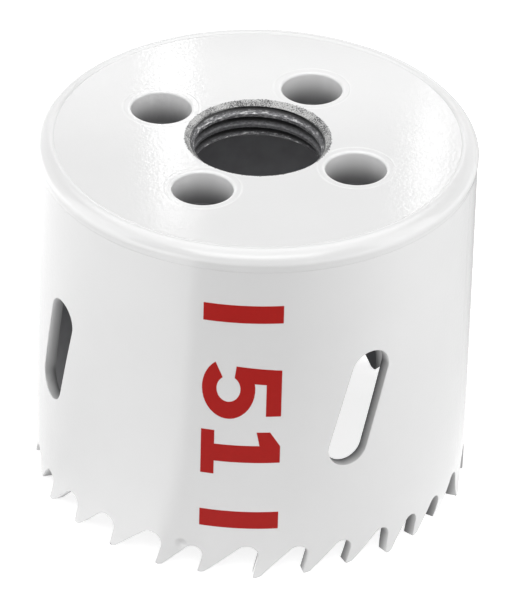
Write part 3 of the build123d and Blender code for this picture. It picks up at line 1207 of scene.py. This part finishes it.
@dataclass
class Studio:
    """A white sweep, the lamps round it and the camera."""

    camera_turn: float = -73.2
    elevation: float = 32.953
    roll: float = 1.525
    distance: float = 691.34
    target: tuple[float, float, float] = (0.529, 0.160, 21.277)
    lens: float = 358.57
    film_width: float = 36.0
    near_clip: float = 0.05
    paper: str = "#C8C8C8"
    paper_gloss: float = 0.9
    paper_shine: float = 0.82
    paper_reach: float = 3.0
    room_light: float = 0.36
    # The room as the enamel mirrors it, by the height that a mirrored ray comes from
    horizon: tuple[float, float] = (0.35, 0.65)
    horizon_light: tuple[float, float] = (1.4, 0.75)
    overhead: tuple[float, float] = (0.66, 0.82)
    overhead_light: float = 2.4
    # The paper as the enamel mirrors it: from the first of these turns away from the camera to the
    # second, its light fades to the share of the ramp "back"
    fade_turns: tuple[float, float] = (60.0, 150.0)
    ramps: tuple[Ramp, ...] = (
        Ramp("left", "turn", -24, -31, 0.4, 1.9, "SMOOTHSTEP"),
        Ramp("right", "turn", 15, 75, 0.0, 1.9),
        Ramp("near", "reach", 25, 80, 1.7, 0.0),
        Ramp("front", "away", 10, 75, 1.0, -0.35),
        Ramp("far", "reach", 90, 180, 0.0, 1.6),
        Ramp("back", "turn", -57.3, 57.3, 0.75, 0.25),
    )
    # Large boxes on all sides light the saw softly. The plate mirrors the low card and the two
    # narrow strips close behind it: a pale back edge and two bright streaks
    boxes: tuple[SoftBox, ...] = (
        SoftBox("left_box", -85.0, 18.0, 900.0, 700.0, 900.0, 2.7),
        SoftBox("right_box", 80.0, 18.0, 900.0, 600.0, 900.0, 2.6),
        SoftBox("back_box", 180.0, 62.0, 900.0, 900.0, 560.0, 1.25),
        SoftBox("front_box", 0.0, 50.0, 900.0, 900.0, 500.0, 3.4),
        SoftBox("back_card", 180.0, 34.5, 190.0, 130.0, 12.0, 0.006),
        SoftBox("left_strip", -174.75, 37.2, 175.0, 4.0, 28.0, 0.0013),
        SoftBox("right_strip", 170.5, 38.3, 184.0, 4.0, 20.0, 0.0009),
    )

    def place(self, turn: float, elevation: float, distance: float) -> Vector:
        """Point round the saw, in metres.

        Args:
            turn: Degrees from the camera's side, positive to the right.
            elevation: Degrees above the floor.
            distance: Millimetres from the target.

        Returns:
            The point.
        """
        side, up = math.radians(self.camera_turn + turn), math.radians(elevation)
        reach = Vector((math.cos(up) * math.cos(side), math.cos(up) * math.sin(side), math.sin(up)))
        return (Vector(self.target) + reach * distance) * MM

    def camera(self) -> bpy.types.Object:
        """Make the camera where the photograph was taken from.

        Returns:
            The camera.
        """
        data = bpy.data.cameras.new("camera")
        data.sensor_width = self.film_width
        data.sensor_fit = "AUTO"
        data.lens = self.lens
        data.clip_start = self.near_clip
        camera = bpy.data.objects.new("camera", data)
        bpy.context.scene.collection.objects.link(camera)
        spot = self.place(0.0, self.elevation, self.distance)
        aim = (Vector(self.target) * MM - spot).to_track_quat("-Z", "Y").to_matrix().to_4x4()
        camera.matrix_world = Matrix.Translation(spot) @ aim @ Matrix.Rotation(
            math.radians(self.roll), 4, "Z")
        bpy.context.scene.camera = camera
        return camera

    def glow(self, tree: bpy.types.NodeTree) -> bpy.types.NodeSocket:
        """Light of the paper as the enamel mirrors it.

        The paper is bright at both sides, dim some 80 mm in front of the saw, and weaker behind it.

        Args:
            tree: Node tree of the paper.

        Returns:
            Socket with the strength of the light.
        """
        flat, reach = off_axis(tree, add_node(tree, "ShaderNodeTexCoord").outputs["Object"])
        spot = add_node(tree, "ShaderNodeSeparateXYZ", [flat])
        heading = add_node(tree, "ShaderNodeMath", [spot.outputs["Y"], spot.outputs["X"]],
                           operation="ARCTAN2")
        turn = add_node(tree, "ShaderNodeMath", [heading.outputs[0], math.radians(self.camera_turn)],
                        operation="SUBTRACT")
        turn = add_node(tree, "ShaderNodeMath", [turn.outputs[0], math.pi, -math.pi],
                        operation="WRAP").outputs[0]
        away = add_node(tree, "ShaderNodeMath", [turn], operation="ABSOLUTE").outputs[0]
        degree, light = math.radians(1), {}
        spans = {"turn": (turn, degree), "away": (away, degree), "reach": (reach, MM)}
        for ramp in self.ramps:
            value, unit = spans[ramp.over]
            light[ramp.name] = add_node(tree, "ShaderNodeMapRange",
                                        {"Value": value, "From Min": ramp.start * unit,
                                         "From Max": ramp.end * unit, "To Min": ramp.low,
                                         "To Max": ramp.high},
                                        interpolation_type=ramp.kind).outputs["Result"]
        fade = add_node(tree, "ShaderNodeMapRange",
                        {"Value": away, "From Min": math.radians(self.fade_turns[0]),
                         "From Max": math.radians(self.fade_turns[1]), "To Min": 1.0,
                         "To Max": light["back"]})
        sides = add_node(tree, "ShaderNodeMath", [light["left"], light["right"]], operation="ADD")
        sides = add_node(tree, "ShaderNodeMath", [sides.outputs[0], light["far"]], operation="ADD")
        whole = add_node(tree, "ShaderNodeMath", [light["near"], light["front"], sides.outputs[0]],
                         operation="MULTIPLY_ADD")
        faded = add_node(tree, "ShaderNodeMath", [whole.outputs[0], fade.outputs["Result"]],
                         operation="MULTIPLY")
        return faded.outputs[0]

    def floor(self) -> bpy.types.Object:
        """Make the white paper that the saw stands on.

        Returns:
            The floor.
        """
        mesh = bpy.data.meshes.new("floor")
        side = self.paper_reach
        mesh.from_pydata([(-side, -side, 0), (side, -side, 0), (side, side, 0), (-side, side, 0)],
                         [], [(0, 1, 2, 3)])
        # Matt backdrop paper gives the eye plain white, with a faint shadow at the teeth
        material, shader = new_material("white_paper")
        tree = material.node_tree
        shader.inputs["Base Color"].default_value = linear(self.paper)
        shader.inputs["Roughness"].default_value = self.paper_gloss
        # The paper looks a little brighter than it lights, so that only the shadow tints it
        seen = add_node(tree, "ShaderNodeLightPath")
        glow = add_node(tree, "ShaderNodeEmission", {"Color": linear("#FFFFFF")})
        share = add_node(tree, "ShaderNodeMath", [seen.outputs["Is Camera Ray"], self.paper_shine],
                         operation="MULTIPLY")
        tree.links.new(share.outputs[0], glow.inputs["Strength"])
        both = add_node(tree, "ShaderNodeAddShader", [shader.outputs[0], glow.outputs[0]])
        mirrored = add_node(tree, "ShaderNodeEmission",
                            {"Color": linear("#FFFFFF"), "Strength": self.glow(tree)})
        either = add_node(tree, "ShaderNodeMixShader",
                          [seen.outputs["Is Glossy Ray"], both.outputs[0], mirrored.outputs[0]])
        tree.links.new(either.outputs[0], tree.nodes["Material Output"].inputs["Surface"])
        mesh.materials.append(material)
        floor = new_object("floor", mesh)
        return floor

    def light(self) -> None:
        """Hang the lamps and set the even light of the room."""
        for box in self.boxes:
            lamp = bpy.data.lights.new(box.name, "AREA")
            lamp.shape = "RECTANGLE"
            lamp.size, lamp.size_y = box.width * MM, box.height * MM
            lamp.energy = box.power
            holder = bpy.data.objects.new(box.name, lamp)
            bpy.context.scene.collection.objects.link(holder)
            holder.location = self.place(box.turn, box.elevation, box.distance)
            aim = Vector(self.target) * MM - holder.location
            holder.rotation_euler = aim.to_track_quat("-Z", "Y").to_euler()
        world = bpy.data.worlds.new("studio")
        bpy.context.scene.world = world
        world.use_nodes = True
        tree = world.node_tree
        seen = add_node(tree, "ShaderNodeLightPath")
        tone = add_node(tree, "ShaderNodeMapRange",
                        {"Value": seen.outputs["Is Camera Ray"], "To Min": self.room_light,
                         "To Max": 1.0})
        # In the enamel the room shows bright at the horizon and overhead
        height = add_node(tree, "ShaderNodeSeparateXYZ",
                          [add_node(tree, "ShaderNodeTexCoord").outputs["Generated"]])
        low = add_node(tree, "ShaderNodeMapRange",
                       {"Value": height.outputs["Z"], "From Min": self.horizon[0],
                        "From Max": self.horizon[1], "To Min": self.horizon_light[0],
                        "To Max": self.horizon_light[1]})
        mirrored = add_node(tree, "ShaderNodeMapRange",
                            {"Value": height.outputs["Z"], "From Min": self.overhead[0],
                             "From Max": self.overhead[1], "To Min": low.outputs["Result"],
                             "To Max": self.overhead_light})
        strength = add_node(tree, "ShaderNodeMix",
                            {0: seen.outputs["Is Glossy Ray"], 2: tone.outputs["Result"],
                             3: mirrored.outputs["Result"]}, data_type="FLOAT")
        tree.links.new(strength.outputs[0], tree.nodes["Background"].inputs["Strength"])
        tree.nodes["Background"].inputs["Color"].default_value = linear("#FFFFFF")


def main() -> None:
    """Build the studio and the saw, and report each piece."""
    logging.basicConfig(level=logging.INFO, format="%(name)s: %(message)s")
    studio = Studio()
    studio.camera()
    studio.floor()
    studio.light()
    pieces = [ToothedBand().dress(), WeldBead().build(), EndPlate().build(), SizeMark().build()]
    for piece in pieces:
        log.info("%s: %d faces", piece.name, len(piece.data.polygons))
    bpy.context.scene.view_settings.view_transform = "Standard"


if __name__ == "__main__":
    main()
